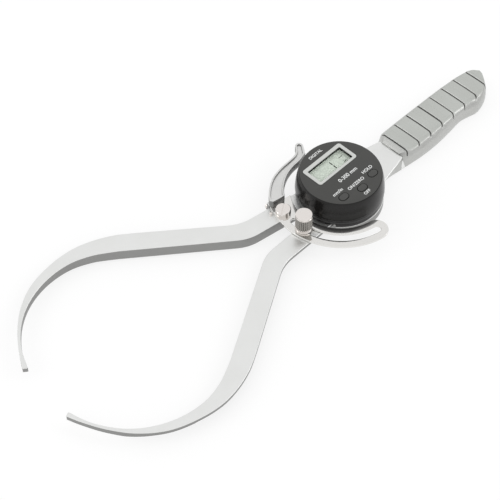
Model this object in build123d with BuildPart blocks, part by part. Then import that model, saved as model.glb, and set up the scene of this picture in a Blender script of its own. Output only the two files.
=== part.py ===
from build123d import *
import math
import os

# Digital outside caliper: two bowed jaws on a hub, a slotted lock band, a round readout and a grip.
# Millimetres, +Z up. The origin is on the hinge axis, in the plane that the tool rests on.
# +X runs along the closing line of the jaws, from the hinge towards the jaw tips.
# The moving jaw is drawn in its own frame, which is turned by rest_opening from the closed pose.

# ---- driving dimensions -------------------------------------------------------------------
rest_opening = 9.8          # degrees between the closed jaws and the pose modelled here
reach = 231.5               # hinge axis to the contact corner of a jaw tip
jaw_gap = 0.05              # from each contact face to the closing line, jaws closed

# heights
hub_bottom = 1.0
fixed_hub_top = 4.6
moving_hub_bottom = 5.0
jaw_top = 9.0               # moving jaw, under the lock band
fixed_top = 8.75            # fixed jaw and neck, which the band and lever pass over
rib_bottom = 0.6
tip_bottom = 4.9
flange_thickness = 2.7
band_thickness = 1.6
readout_bottom = 9.4
housing_top = 27.1
face_top = 27.5

# hub and hinge
hub_radius = 24.0
hub_clearance = 0.5
post_radius = 6.0
bush_radius = 7.6
running_gap = 0.05
post_flange_radius = 9.0
post_flange_thickness = 1.4
cap_radius = 17.0
cap_plug_radius = 2.5        # fills the bore of the post
cap_plug_length = 3.0
thrust_washer_radius = 18.0
spring_washer_radius = 15.0
nut_radius = 9.0
washer_thickness = 0.3
skirt_radius = 28.3
skirt_bottom = 7.3           # the skirt is dark; the hub's flange below it is bright metal
skirt_start = 37.5
skirt_end = 139.0

# jaw root and bow
root_inner = 1.8            # from the closing line to the inner edge of the root
root_outer = 14.9
root_start = 8.0
rib_width = 5.0
slope_start = 140.0         # where the underside starts to rise towards the tip
inner_bend = (70.0, root_inner)
inner_bow = [(141.0, 41.6), (156.2, 48.3), (171.0, 51.1), (189.0, 48.6),
             (205.5, 40.9), (218.3, 29.3), (227.5, 14.0), (reach, jaw_gap)]
outer_bend = (67.5, root_outer)
outer_bow = [(125.0, 48.0), (137.0, 54.2), (151.0, 58.5), (165.0, 60.0), (181.5, 57.5),
             (199.5, 50.6), (214.0, 38.7), (224.5, 24.0), (231.5, 9.5), (234.6, 1.6)]
tip_flat_end = 233.3
inner_bend_radius = 28.0
outer_bend_radius = 30.0

# lock band, knob and band screw
band_radius = 39.3
band_half_width = 7.3
slot_half_width = 2.6
band_screw_place = (40.5, -6.0)  # in the moving frame
band_slot_start = 6.1
band_slot_end = 88.8
band_screw_head = 5.0
band_screw_height = 3.4
band_screw_shank = 1.75
screw_slot_depth = 1.4
screw_slot_width = 1.1
screw_slot_turn = 43.0      # degrees from the moving frame's X
knob_angle = 7.3            # in the fixed frame
knob_radius = 5.4
knob_washer_top = 11.4
knob_top = 24.0
knob_flutes = 26
flute_radius = 0.5
groove_height = 0.4         # the plain groove under the knob's top rim
stud_radius = 2.3
insert_radius = 3.6
dowel_radius = 1.0
dowel_place = (47.1, -10.1)  # in the moving frame, against the outer edge of the band
band_corner_angle = -13.0    # where the outer edge of the band turns in beside the dowel
band_cut = 14.6              # the band ends along this line, just inside the jaw's outer edge

# thumb lever, in the moving frame
lever_bottom = 10.6
lever_top = 16.5
lever_recess = 1.0
lever_rim = 1.3
lever_outer = [(44.8, -14.6), (42.4, -18.9), (37.0, -24.9), (31.4, -29.2), (23.3, -32.6),
               (15.6, -34.4), (9.2, -36.2), (6.0, -38.6), (4.6, -41.2)]
lever_tip = (1.6, -43.3)
lever_inner = [(-0.6, -38.9), (2.4, -33.5), (9.1, -30.4), (16.1, -28.5),
               (22.2, -25.7), (27.2, -22.0), (31.7, -17.1), (34.6, -12.4)]
lever_base_corner = (43.4, -12.7)
foot_start = 36.0
foot_end = 44.6
foot_thickness = 3.2
foot_bottom = 1.6
lever_screw_x = (38.0, 42.6)
lever_screw_z = 5.2
lever_screw_shank = 1.25
lever_screw_hole = 1.4
lever_screw_head = 2.1
lever_screw_depth = 6.0      # how far the screws reach into the jaw
lever_edge = 0.5

# handle
neck_bottom = 0.6
neck_sections = [(-23.0, 16.6, 12.0), (-29.0, 14.6, 11.4), (-37.0, 12.9, 11.5), (-43.5, 11.6, 12.3),
                 (-50.0, 10.0, 13.1)]     # place along X, half width at the top, half width at the bottom
tang_bottom = 3.0
tang_half_width = 7.0
tang_end = -128.0
grip_front = -50.0
grip_split = 6.0
grip_top = 12.4
grip_corner = 0.8
grip_back = [(-50.8, -13.1), (-90.0, -12.9), (-122.0, -11.7)]
grip_end = [(-122.0, -11.7), (-139.8, -8.0), (-143.6, -2.0), (-140.5, 5.0), (-132.0, 12.4)]
grip_belly = [(-132.0, 12.4), (-119.5, 15.6), (-106.5, 12.9), (-80.0, 15.0), (-50.8, 13.2)]
grip_edge = 2.6
parting_gap = 0.1
ramp_length = 4.5
rib_count = 8
rib_pitch = 11.6
first_groove = -54.0
groove_radius = 0.9
grip_screw_x = (-64.0, -94.0, -120.0)
grip_screw_hole = 1.6
grip_screw_shank = 1.5
grip_screw_head = 2.8
grip_screw_seat = 2.1        # depth of the recess for the screw head
grip_half_span = 30.0        # cuts across the grip start and end this far from its middle

# readout
housing_base_radius = 28.6
housing_top_radius = 26.4
housing_wall = 2.0
housing_roof = 1.6
base_plate_bottom = 9.6
base_plate_top = 11.0
base_plate_radius = 26.2
base_plate_hole = 9.2
rotor_bottom = 11.6
rotor_top = 12.4
rotor_radius = 18.5
stator_bottom = 12.8
carrier_bottom = 13.6
carrier_top = 15.0
carrier_radius = 25.0
nut_top = 16.6
board_bottom = 21.0
board_top = 21.8
board_radius = 22.9
boss_circle = 22.0
boss_radius = 2.2
boss_angles = (22, 158, 205, 335)
boss_hole = 0.9              # the readout screws cut their thread in it
boss_clearance_hole = 1.1
screw_recess_radius = 2.0
screw_recess_depth = 0.9
stator_radius = 19.3
rotor_window_circle = 15.0
rotor_windows = 24
frame_lip = 0.8              # the display frame's skirt around its window
membrane_thickness = 0.7
key_flange_thickness = 1.0
key_stem_radius = 1.4
bezel_size = (34.6, 16.3)
bezel_centre = (0.0, -9.45)
bezel_top = 27.8
window_size = (29.6, 11.5)
window_centre = (0.0, -9.05)
lens_bottom = 25.6
lens_top = 26.2
lcd_bottom = 23.6
lcd_top = 24.9
button_places = {"hold_button": (-13.4, 15.05), "zero_button": (0.0, 18.3), "unit_button": (13.6, 15.05)}
button_size = (7.2, 5.0)
button_play = 0.3
button_top = 27.8
button_travel = 0.6
battery_radius = 10.0
battery_bottom = 17.2
battery_height = 3.2
battery_centre = (0.0, -8.0)

moving_x = (math.cos(math.radians(-rest_opening)), math.sin(math.radians(-rest_opening)), 0)


def fixed(height):
    """The XY plane of the fixed frame at a height."""
    return Plane.XY.offset(height)


def moving(height):
    """The XY plane of the moving jaw's own frame at a height."""
    return Plane(origin=(0, 0, height), x_dir=moving_x, z_dir=(0, 0, 1))


def polar(radius, degrees):
    angle = math.radians(degrees)
    return (radius * math.cos(angle), radius * math.sin(angle))


def flipped(points, side):
    """Points on the given side of the closing line: 1 for the fixed jaw, -1 for the moving one."""
    return [(x, side * y) for x, y in points]


def shifted(points, distance):
    """Points moved sideways by a distance, to the left of the direction they run in."""
    moved = []
    for i, (x, y) in enumerate(points):
        before = points[max(i - 1, 0)]
        after = points[min(i + 1, len(points) - 1)]
        dx = after[0] - before[0]
        dy = after[1] - before[1]
        length = math.hypot(dx, dy)
        moved.append((x - distance * dy / length, y + distance * dx / length))
    return moved


def direction(start, end):
    return (end[0] - start[0], end[1] - start[1])


def jaw_outline(side):
    """Draw one jaw in the active sketch: straight root, bend, straight limb and bowed end."""
    inner = flipped(inner_bow, side)
    outer = flipped(outer_bow, side)
    inner_corner = (inner_bend[0], side * inner_bend[1])
    outer_corner = (outer_bend[0], side * outer_bend[1])
    tip_flat = (tip_flat_end, side * jaw_gap)
    with BuildLine() as outline:
        FilletPolyline((root_start, side * root_inner), inner_corner, inner[0], radius=inner_bend_radius)
        Spline(*inner, tangents=[direction(inner_corner, inner[0]), (0.12, -side)])
        Line(inner[-1], tip_flat)
        ThreePointArc(tip_flat, (tip_flat_end + 0.95, side * 0.55), outer[-1])
        Spline(*outer, tangents=[direction(outer_corner, outer[0]), (0.25, -side)])
        FilletPolyline(outer[0], outer_corner, (root_start, side * root_outer), radius=outer_bend_radius)
        Line((root_start, side * root_outer), (root_start, side * root_inner))
    make_face(outline.edges())


def flange_underside(side):
    """Draw what is cut from below, so that the outer part of a jaw is a thin flange beside its rib."""
    pocket_start = 58.0
    margin = 3.0
    rib_edge = flipped(shifted([inner_bend] + inner_bow[:-3], rib_width), side)
    outside = flipped(shifted([outer_bend] + outer_bow[:-3], margin), side)
    with BuildLine() as outline:
        Polyline((pocket_start, side * (root_inner + rib_width)), rib_edge[0], rib_edge[1])
        Spline(*rib_edge[1:])
        Line(rib_edge[-1], outside[-1])
        Spline(*outside[::-1])
        Polyline(outside[0], (pocket_start, side * (root_outer + margin)),
                 (pocket_start, side * (root_inner + rib_width)))
    make_face(outline.edges())


def underside_slope():
    """Draw, in the XZ plane, the wedge that thins a jaw towards its tip."""
    past_tip = reach + 10.0
    rise = (tip_bottom - rib_bottom) / (reach - slope_start)
    with BuildLine() as outline:
        Polyline((slope_start, rib_bottom), (past_tip, rib_bottom + rise * (past_tip - slope_start)),
                 (past_tip, 0), (slope_start, 0), close=True)
    make_face(outline.edges())


def hub_side_sector(outer, inner):
    """Draw the part of a ring that lies between the fixed jaw and the neck, on the side the jaw never sweeps."""
    middle = (skirt_start + skirt_end) / 2
    with BuildLine() as outline:
        ThreePointArc(polar(outer, skirt_start), polar(outer, middle), polar(outer, skirt_end))
        Line(polar(outer, skirt_end), polar(inner, skirt_end))
        ThreePointArc(polar(inner, skirt_end), polar(inner, middle), polar(inner, skirt_start))
        Line(polar(inner, skirt_start), polar(outer, skirt_start))
    make_face(outline.edges())


# ---- fixed jaw: lower hub disc, jaw, neck and the tang inside the grip --------------------
jaw_span = 70.0
knob_place = polar(band_radius, knob_angle)

with BuildPart() as fixed_jaw:
    with BuildSketch(fixed(rib_bottom)):
        jaw_outline(1)
    extrude(amount=fixed_top - rib_bottom)
    with BuildSketch(fixed(0)):
        flange_underside(1)
    extrude(amount=fixed_top - flange_thickness, mode=Mode.SUBTRACT)
    with BuildSketch(Plane.XZ):
        underside_slope()
    extrude(amount=-jaw_span, mode=Mode.SUBTRACT)
    for x, half_top, half_bottom in neck_sections:
        with BuildSketch(Plane.YZ.offset(x)):
            with BuildLine():
                Polyline((-half_bottom, neck_bottom), (-half_top, fixed_top), (half_top, fixed_top),
                         (half_bottom, neck_bottom), close=True)
            make_face()
    loft()
    with BuildSketch(fixed(tang_bottom)):
        with Locations(((grip_front + tang_end) / 2, 0)):
            Rectangle(grip_front - tang_end, 2 * tang_half_width)
    extrude(amount=fixed_top - tang_bottom)
    with BuildSketch(fixed(fixed_hub_top)):
        Circle(hub_radius + hub_clearance)
    extrude(amount=jaw_top, mode=Mode.SUBTRACT)
    with BuildSketch(fixed(0)):
        Circle(hub_radius + hub_clearance)
    extrude(amount=fixed_hub_top, mode=Mode.SUBTRACT)
    with BuildSketch(fixed(hub_bottom)):
        Circle(hub_radius + 2 * hub_clearance)
    extrude(amount=fixed_hub_top - hub_bottom)
    with BuildSketch(fixed(hub_bottom)):
        hub_side_sector(skirt_radius + 0.3, hub_radius + hub_clearance)
    extrude(amount=skirt_bottom - 0.1 - hub_bottom)
    with BuildSketch(fixed(hub_bottom)):
        Circle(post_flange_radius)
    extrude(amount=post_flange_thickness, mode=Mode.SUBTRACT)
    with BuildSketch(fixed(0)):
        Circle(post_radius)
    extrude(amount=jaw_top, mode=Mode.SUBTRACT)
    with BuildSketch(fixed(0)):
        with Locations(knob_place):
            Circle(stud_radius)
    extrude(amount=jaw_top, mode=Mode.SUBTRACT)
    with BuildSketch(fixed(0)):
        with Locations([(x, 0) for x in grip_screw_x]):
            Circle(grip_screw_hole)
    extrude(amount=jaw_top, mode=Mode.SUBTRACT)
fixed_jaw.part.label = "fixed_jaw"

# dark wall around the hub, filling the side between the fixed jaw and the neck
with BuildPart() as hub_skirt:
    with BuildSketch(fixed(skirt_bottom)):
        hub_side_sector(skirt_radius, hub_radius + 2 * hub_clearance)
    extrude(amount=readout_bottom - skirt_bottom)
hub_skirt.part.label = "hub_skirt"

# ---- moving jaw: upper hub disc and the mirrored jaw --------------------------------------
with BuildPart() as moving_jaw:
    with BuildSketch(moving(rib_bottom)):
        jaw_outline(-1)
    extrude(amount=jaw_top - rib_bottom)
    with BuildSketch(moving(0)):
        flange_underside(-1)
    extrude(amount=jaw_top - flange_thickness, mode=Mode.SUBTRACT)
    with BuildSketch(Plane(origin=(0, 0, 0), x_dir=moving_x, z_dir=(moving_x[1], -moving_x[0], 0))):
        underside_slope()
    extrude(amount=jaw_span, mode=Mode.SUBTRACT)
    with BuildSketch(moving(0)):
        Circle(hub_radius + 3 * hub_clearance)
    extrude(amount=moving_hub_bottom, mode=Mode.SUBTRACT)
    with BuildSketch(moving(moving_hub_bottom)):
        Circle(hub_radius)
    extrude(amount=jaw_top - moving_hub_bottom)
    with BuildSketch(moving(0)):
        Circle(bush_radius)
    extrude(amount=jaw_top, mode=Mode.SUBTRACT)
    with BuildSketch(moving(rib_bottom)):
        with Locations(band_screw_place):
            Circle(band_screw_shank)
        with Locations(dowel_place):
            Circle(dowel_radius)
    extrude(amount=jaw_top, mode=Mode.SUBTRACT)
    with BuildSketch(Plane(origin=(0, 0, lever_screw_z), x_dir=moving_x,
                           z_dir=(moving_x[1], -moving_x[0], 0)).offset(root_outer - lever_screw_depth - 1.0)):
        with Locations([(x, 0) for x in lever_screw_x]):
            Circle(lever_screw_shank)
    extrude(amount=lever_screw_depth + foot_thickness, mode=Mode.SUBTRACT)
moving_jaw.part.label = "moving_jaw"

# ---- hinge --------------------------------------------------------------------------------
with BuildPart() as pivot_post:
    with BuildSketch(fixed(hub_bottom)):
        Circle(post_flange_radius)
    extrude(amount=post_flange_thickness)
    with BuildSketch(fixed(hub_bottom)):
        Circle(post_radius)
    extrude(amount=nut_top - hub_bottom)
    with BuildSketch(fixed(hub_bottom)):
        Circle(cap_plug_radius)
    extrude(amount=nut_top - hub_bottom, mode=Mode.SUBTRACT)
pivot_post.part.label = "pivot_post"

with BuildPart() as pivot_bush:
    with BuildSketch(moving(moving_hub_bottom)):
        Circle(bush_radius)
        Circle(post_radius + running_gap, mode=Mode.SUBTRACT)
    extrude(amount=rotor_top - moving_hub_bottom)
pivot_bush.part.label = "pivot_bush"

with BuildPart() as thrust_washer:
    with BuildSketch(fixed(fixed_hub_top)):
        Circle(thrust_washer_radius)
        Circle(post_radius, mode=Mode.SUBTRACT)
    extrude(amount=washer_thickness)
thrust_washer.part.label = "thrust_washer"

with BuildPart() as spring_washer:
    with BuildSketch(fixed(jaw_top + 0.1)):
        Circle(spring_washer_radius)
        Circle(base_plate_hole, mode=Mode.SUBTRACT)
    extrude(amount=base_plate_bottom - jaw_top - 0.1)
spring_washer.part.label = "spring_washer"

with BuildPart() as back_cap:
    with BuildSketch(fixed(0)):
        Circle(cap_radius)
    extrude(amount=hub_bottom)
    fillet(back_cap.edges().group_by(Axis.Z)[0], 0.4)
    with BuildSketch(fixed(hub_bottom)):
        Circle(cap_plug_radius)
    extrude(amount=cap_plug_length)
back_cap.part.label = "back_cap"

with BuildPart() as pivot_nut:
    with BuildSketch(fixed(carrier_top)):
        RegularPolygon(nut_radius, 6)
        Circle(post_radius, mode=Mode.SUBTRACT)
    extrude(amount=nut_top - carrier_top)
pivot_nut.part.label = "pivot_nut"

# ---- slotted lock band, its screw and dowel -----------------------------------------------


def band_shape(half_width, start, end):
    """Draw an arc-shaped slot with round ends about the hinge axis."""
    middle = (start + end) / 2
    with BuildLine() as outline:
        ThreePointArc(polar(band_radius + half_width, start), polar(band_radius + half_width, middle),
                      polar(band_radius + half_width, end))
        ThreePointArc(polar(band_radius - half_width, start), polar(band_radius - half_width, middle),
                      polar(band_radius - half_width, end))
        for angle, turn in ((start, -90), (end, 90)):
            centre = polar(band_radius, angle)
            outward = polar(half_width, angle + turn)
            ThreePointArc(polar(band_radius + half_width, angle),
                          (centre[0] + outward[0], centre[1] + outward[1]),
                          polar(band_radius - half_width, angle))
    make_face(outline.edges())


def band_outline():
    """Draw the band: an arc-shaped strip, cut off along the outer edge of the jaw it is fixed to."""
    outer = band_radius + band_half_width
    inner = band_radius - band_half_width
    inner_start = -math.degrees(math.asin(band_cut / inner))
    corner = polar(outer, band_corner_angle)
    middle = (inner_start + band_slot_end) / 2
    with BuildLine() as outline:
        ThreePointArc(corner, polar(outer, middle), polar(outer, band_slot_end))
        end_centre = polar(band_radius, band_slot_end)
        end_reach = polar(band_half_width, band_slot_end + 90)
        ThreePointArc(polar(outer, band_slot_end),
                      (end_centre[0] + end_reach[0], end_centre[1] + end_reach[1]),
                      polar(inner, band_slot_end))
        ThreePointArc(polar(inner, band_slot_end), polar(inner, middle), polar(inner, inner_start))
        Polyline(polar(inner, inner_start), (corner[0] - 1.0, -band_cut), corner)
    make_face(outline.edges())


with BuildPart() as lock_band:
    with BuildSketch(moving(jaw_top)):
        band_outline()
        with Locations(band_screw_place):
            Circle(band_screw_shank, mode=Mode.SUBTRACT)
    extrude(amount=band_thickness)
    chamfer(lock_band.edges().group_by(Axis.Z)[-1], 0.15)
    with BuildSketch(moving(jaw_top)):
        band_shape(slot_half_width, band_slot_start, band_slot_end)
    extrude(amount=band_thickness, mode=Mode.SUBTRACT)
lock_band.part.label = "lock_band"

band_top = jaw_top + band_thickness
with BuildPart() as band_screw:
    with BuildSketch(moving(band_top)):
        with Locations(band_screw_place):
            Circle(band_screw_head)
    extrude(amount=band_screw_height)
    chamfer(band_screw.edges().group_by(Axis.Z)[-1], 0.4)
    with BuildSketch(moving(band_top + band_screw_height - screw_slot_depth)):
        with Locations(band_screw_place):
            Rectangle(3 * band_screw_head, screw_slot_width, rotation=screw_slot_turn)
    extrude(amount=band_screw_height, mode=Mode.SUBTRACT)
    with BuildSketch(moving(rib_bottom + 1.0)):
        with Locations(band_screw_place):
            Circle(band_screw_shank)
    extrude(amount=band_top - rib_bottom - 1.0)
band_screw.part.label = "band_screw"

with BuildPart() as band_dowel:
    with BuildSketch(moving(rib_bottom + 1.0)):
        with Locations(dowel_place):
            Circle(dowel_radius)
    extrude(amount=band_top - rib_bottom - 0.8)
    chamfer(band_dowel.edges().group_by(Axis.Z)[-1], 0.25)
band_dowel.part.label = "band_dowel"

# ---- thumb lever on the moving jaw --------------------------------------------------------
with BuildPart() as thumb_lever:
    with BuildSketch(moving(lever_bottom)):
        with BuildLine():
            Spline(*lever_outer)
            ThreePointArc(lever_outer[-1], lever_tip, lever_inner[0])
            Spline(*lever_inner)
            Polyline(lever_inner[-1], lever_base_corner, lever_outer[0])
        make_face()
    extrude(amount=lever_top - lever_bottom)
    long_edges = thumb_lever.edges().group_by(Axis.Z)[-1].sort_by(SortBy.LENGTH)[-2:]
    fillet(long_edges, lever_edge)
    with BuildSketch(moving(lever_top - lever_recess)):
        with BuildLine():
            Spline(*shifted(lever_outer[1:], lever_rim + 0.4)[::-1])
            Spline(*shifted(lever_inner[:-1], lever_rim + 0.4)[::-1])
            outer_in = shifted(lever_outer[1:], lever_rim + 0.4)
            inner_in = shifted(lever_inner[:-1], lever_rim + 0.4)
            Line(outer_in[0], inner_in[-1])
            Line(outer_in[-1], inner_in[0])
        make_face()
    extrude(amount=2 * lever_recess, mode=Mode.SUBTRACT)
    with BuildSketch(moving(foot_bottom)):
        with Locations(((foot_start + foot_end) / 2, -root_outer - foot_thickness / 2)):
            Rectangle(foot_end - foot_start, foot_thickness)
    extrude(amount=lever_top - 1.5 - foot_bottom)
    with BuildSketch(Plane(origin=(0, 0, lever_screw_z), x_dir=moving_x,
                           z_dir=(moving_x[1], -moving_x[0], 0)).offset(root_outer)):
        with Locations([(x, 0) for x in lever_screw_x]):
            Circle(lever_screw_hole)
    extrude(amount=foot_thickness, mode=Mode.SUBTRACT)
thumb_lever.part.label = "thumb_lever"

with BuildPart() as lever_screws:
    side_plane = Plane(origin=(0, 0, lever_screw_z), x_dir=moving_x, z_dir=(moving_x[1], -moving_x[0], 0))
    with BuildSketch(side_plane.offset(root_outer - lever_screw_depth)):
        with Locations([(x, 0) for x in lever_screw_x]):
            Circle(lever_screw_shank)
    extrude(amount=lever_screw_depth + foot_thickness)
    with BuildSketch(side_plane.offset(root_outer + foot_thickness)):
        with Locations([(x, 0) for x in lever_screw_x]):
            Circle(lever_screw_head)
            RegularPolygon(lever_screw_head - 1.0, 6, mode=Mode.SUBTRACT)
    extrude(amount=1.6)
lever_screws.part.label = "lever_screws"

# ---- lock knob ----------------------------------------------------------------------------
stud_shoulder = knob_washer_top - 0.1
with BuildPart() as lock_stud:
    with BuildSketch(fixed(rib_bottom + 0.4)):
        with Locations(knob_place):
            Circle(stud_radius)
    extrude(amount=stud_shoulder - rib_bottom - 0.4)
    with BuildSketch(fixed(stud_shoulder)):
        with Locations(knob_place):
            Circle(stud_radius - 0.5)
    extrude(amount=knob_top - 3.0 - stud_shoulder)
lock_stud.part.label = "lock_stud"

with BuildPart() as clamp_washer:
    with BuildSketch(fixed(band_top + 0.05)):
        with Locations(knob_place):
            Circle(knob_radius + 0.1)
            Circle(stud_radius + running_gap, mode=Mode.SUBTRACT)
    extrude(amount=knob_washer_top - band_top - 0.1)
    chamfer(clamp_washer.edges().group_by(Axis.Z)[-1].sort_by(SortBy.RADIUS)[-1], 0.2)
clamp_washer.part.label = "clamp_washer"

with BuildPart() as knob_insert:
    with BuildSketch(fixed(knob_washer_top)):
        with Locations(knob_place):
            Circle(insert_radius)
            Circle(stud_radius - 0.5 + running_gap, mode=Mode.SUBTRACT)
    extrude(amount=knob_top - 2.4 - knob_washer_top)
knob_insert.part.label = "knob_insert"

with BuildPart() as lock_knob:
    knurl_bottom = knob_washer_top + 0.9
    knurl_top = knob_top - 1.5
    with BuildSketch(fixed(knob_washer_top)):
        with Locations(knob_place):
            Circle(knob_radius)
    extrude(amount=knurl_bottom - knob_washer_top)
    with BuildSketch(fixed(knurl_bottom)):
        with Locations(knob_place):
            Circle(knob_radius)
            with PolarLocations(knob_radius + 0.1, knob_flutes):
                Circle(flute_radius, mode=Mode.SUBTRACT)
    extrude(amount=knurl_top - knurl_bottom)
    with BuildSketch(fixed(knurl_top)):
        with Locations(knob_place):
            Circle(knob_radius - 0.5)
    extrude(amount=groove_height)
    with BuildSketch(fixed(knurl_top + groove_height)):
        with Locations(knob_place):
            Circle(knob_radius - 0.1)
    extrude(amount=knob_top - knurl_top - groove_height)
    chamfer(lock_knob.edges().group_by(Axis.Z)[-1], 0.35)
    with BuildSketch(fixed(knob_washer_top)):
        with Locations(knob_place):
            Circle(insert_radius)
    extrude(amount=knob_top - 1.4 - knob_washer_top, mode=Mode.SUBTRACT)
lock_knob.part.label = "lock_knob"

# ---- grip: two shells over the tang -------------------------------------------------------


def grip_outline():
    """Draw the plan of the grip: straight back, round end and a waisted belly with a pommel."""
    with BuildLine() as outline:
        Spline(*grip_back)
        Spline(*grip_end, tangents=[(-32.0, 1.2), (8.0, 5.0)])
        Spline(*grip_belly, tangents=[(8.0, 5.0), (26.0, -1.6)])
        front_high = (grip_front, grip_belly[-1][1] - grip_corner)
        front_low = (grip_front, grip_back[0][1] + grip_corner)
        TangentArc(grip_belly[-1], front_high, tangent=(26.0, -1.6))
        Line(front_high, front_low)
        TangentArc(grip_back[0], front_low, tangent=(36.0, -0.3))
    make_face(outline.edges())


def tang_pocket():
    with Locations(((grip_front + tang_end) / 2, 0)):
        Rectangle(grip_front - tang_end, 2 * tang_half_width)


with BuildPart() as grip_upper:
    with BuildSketch(fixed(grip_split + parting_gap)):
        grip_outline()
    extrude(amount=grip_top - grip_split - parting_gap)
    fillet(grip_upper.edges().group_by(Axis.Z)[-1], grip_edge)
    with BuildSketch(Plane.XZ.offset(-grip_half_span)):
        with BuildLine():
            Polyline((grip_front, fixed_top + 0.1), (grip_front - ramp_length, grip_top + 0.3),
                     (grip_front + 3.0, grip_top + 0.3), (grip_front + 3.0, fixed_top + 0.1), close=True)
        make_face()
    extrude(amount=2 * grip_half_span, mode=Mode.SUBTRACT)
    with BuildSketch(Plane.XZ.offset(-grip_half_span)):
        with Locations([(first_groove - i * rib_pitch, grip_top + 0.2) for i in range(rib_count)]):
            Circle(groove_radius)
    extrude(amount=2 * grip_half_span, mode=Mode.SUBTRACT)
    with BuildSketch(fixed(grip_split)):
        tang_pocket()
    extrude(amount=jaw_top - grip_split, mode=Mode.SUBTRACT)
    with BuildSketch(fixed(grip_split)):
        with Locations([(x, 0) for x in grip_screw_x]):
            Circle(grip_screw_shank)
    extrude(amount=4.5, mode=Mode.SUBTRACT)
grip_upper.part.label = "grip_upper"

with BuildPart() as grip_lower:
    with BuildSketch(fixed(0)):
        grip_outline()
    extrude(amount=grip_split)
    fillet(grip_lower.edges().group_by(Axis.Z)[0], 2.0)
    with BuildSketch(fixed(tang_bottom)):
        tang_pocket()
    extrude(amount=grip_split - tang_bottom, mode=Mode.SUBTRACT)
    with BuildSketch(fixed(0)):
        with Locations([(x, 0) for x in grip_screw_x]):
            Circle(grip_screw_hole)
    extrude(amount=grip_split, mode=Mode.SUBTRACT)
    with BuildSketch(fixed(0)):
        with Locations([(x, 0) for x in grip_screw_x]):
            Circle(grip_screw_head + 0.2)
    extrude(amount=grip_screw_seat, mode=Mode.SUBTRACT)
grip_lower.part.label = "grip_lower"

with BuildPart() as grip_screws:
    with BuildSketch(fixed(0.5)):
        with Locations([(x, 0) for x in grip_screw_x]):
            Circle(grip_screw_head)
            RegularPolygon(1.3, 6, mode=Mode.SUBTRACT)
    extrude(amount=1.0)
    with BuildSketch(fixed(1.5)):
        with Locations([(x, 0) for x in grip_screw_x]):
            Circle(grip_screw_head)
    extrude(amount=0.6)
    with BuildSketch(fixed(grip_screw_seat)):
        with Locations([(x, 0) for x in grip_screw_x]):
            Circle(grip_screw_shank)
    extrude(amount=8.0)
grip_screws.part.label = "grip_screws"

# ---- readout: shell, base plate, encoder, board, display, keys and battery -----------------
boss_places = [polar(boss_circle, angle) for angle in boss_angles]
door_height = (16.4, 21.2)
door_width = 21.4


def housing_profile():
    """Draw half the section of the housing's shell, with the axis of revolution at X = 0."""
    roof_bottom = housing_top - housing_roof
    inner_base = housing_base_radius - housing_wall
    inner_top = housing_top_radius - housing_wall
    with BuildLine() as outline:
        Line((inner_base, readout_bottom), (housing_base_radius, readout_bottom))
        ThreePointArc((housing_base_radius, readout_bottom), (28.05, 18.0), (housing_top_radius, housing_top))
        Line((housing_top_radius, housing_top), (0, housing_top))
        Line((0, housing_top), (0, roof_bottom))
        Line((0, roof_bottom), (inner_top, roof_bottom))
        ThreePointArc((inner_top, roof_bottom), (26.05, 18.0), (inner_base, readout_bottom))
    make_face(outline.edges())


with BuildPart() as readout_housing:
    with BuildSketch(Plane.XZ):
        housing_profile()
    revolve(axis=Axis.Z)
    with BuildSketch(fixed(carrier_top)):
        with Locations(boss_places):
            Circle(boss_radius)
    extrude(amount=housing_top - housing_roof - carrier_top)
    with BuildSketch(fixed(carrier_top)):
        with Locations(boss_places):
            Circle(boss_hole)
    extrude(amount=6.0, mode=Mode.SUBTRACT)
    with BuildSketch(fixed(housing_top - housing_roof)):
        with Locations(window_centre):
            Rectangle(window_size[0] + 2 * frame_lip, window_size[1] + 2 * frame_lip)
        with Locations(list(button_places.values())):
            SlotOverall(button_size[0] + button_play, button_size[1] + button_play)
    extrude(amount=housing_roof, mode=Mode.SUBTRACT)
    with BuildSketch(fixed(door_height[0])):
        with Locations((0, -housing_base_radius)):
            Rectangle(door_width, 24.0)
    extrude(amount=door_height[1] - door_height[0], mode=Mode.SUBTRACT)
readout_housing.part.label = "readout_housing"

with BuildPart() as battery_door:
    with BuildSketch(Plane.XZ):
        housing_profile()
    revolve(axis=Axis.Z)
    with BuildSketch(fixed(door_height[0] + 0.1)):
        with Locations((0, -housing_base_radius)):
            Rectangle(door_width - 0.2, 23.8)
    extrude(amount=door_height[1] - door_height[0] - 0.2, mode=Mode.INTERSECT)
battery_door.part.label = "battery_door"

with BuildPart() as face_plate:
    with BuildSketch(fixed(housing_top)):
        Circle(housing_top_radius - 0.3)
        with Locations(bezel_centre):
            RectangleRounded(bezel_size[0], bezel_size[1], 1.8, mode=Mode.SUBTRACT)
        with Locations(list(button_places.values())):
            SlotOverall(button_size[0] + button_play, button_size[1] + button_play, mode=Mode.SUBTRACT)
    extrude(amount=face_top - housing_top)
face_plate.part.label = "face_plate"

with BuildPart() as lcd_bezel:
    with BuildSketch(fixed(housing_top)):
        with Locations(bezel_centre):
            RectangleRounded(bezel_size[0], bezel_size[1], 1.8)
    extrude(amount=bezel_top - housing_top)
    fillet(lcd_bezel.edges().group_by(Axis.Z)[-1], 0.3)
    with BuildSketch(fixed(housing_top - housing_roof)):
        with Locations(window_centre):
            Rectangle(window_size[0] + 2 * frame_lip, window_size[1] + 2 * frame_lip)
    extrude(amount=housing_roof)
    with BuildSketch(fixed(housing_top - housing_roof)):
        with Locations(window_centre):
            Rectangle(*window_size)
    extrude(amount=bezel_top - housing_top + housing_roof, mode=Mode.SUBTRACT)
lcd_bezel.part.label = "lcd_bezel"

with BuildPart() as lcd_lens:
    with BuildSketch(fixed(lens_bottom)):
        with Locations(window_centre):
            Rectangle(*window_size)
    extrude(amount=lens_top - lens_bottom)
lcd_lens.part.label = "lcd_lens"

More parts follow.
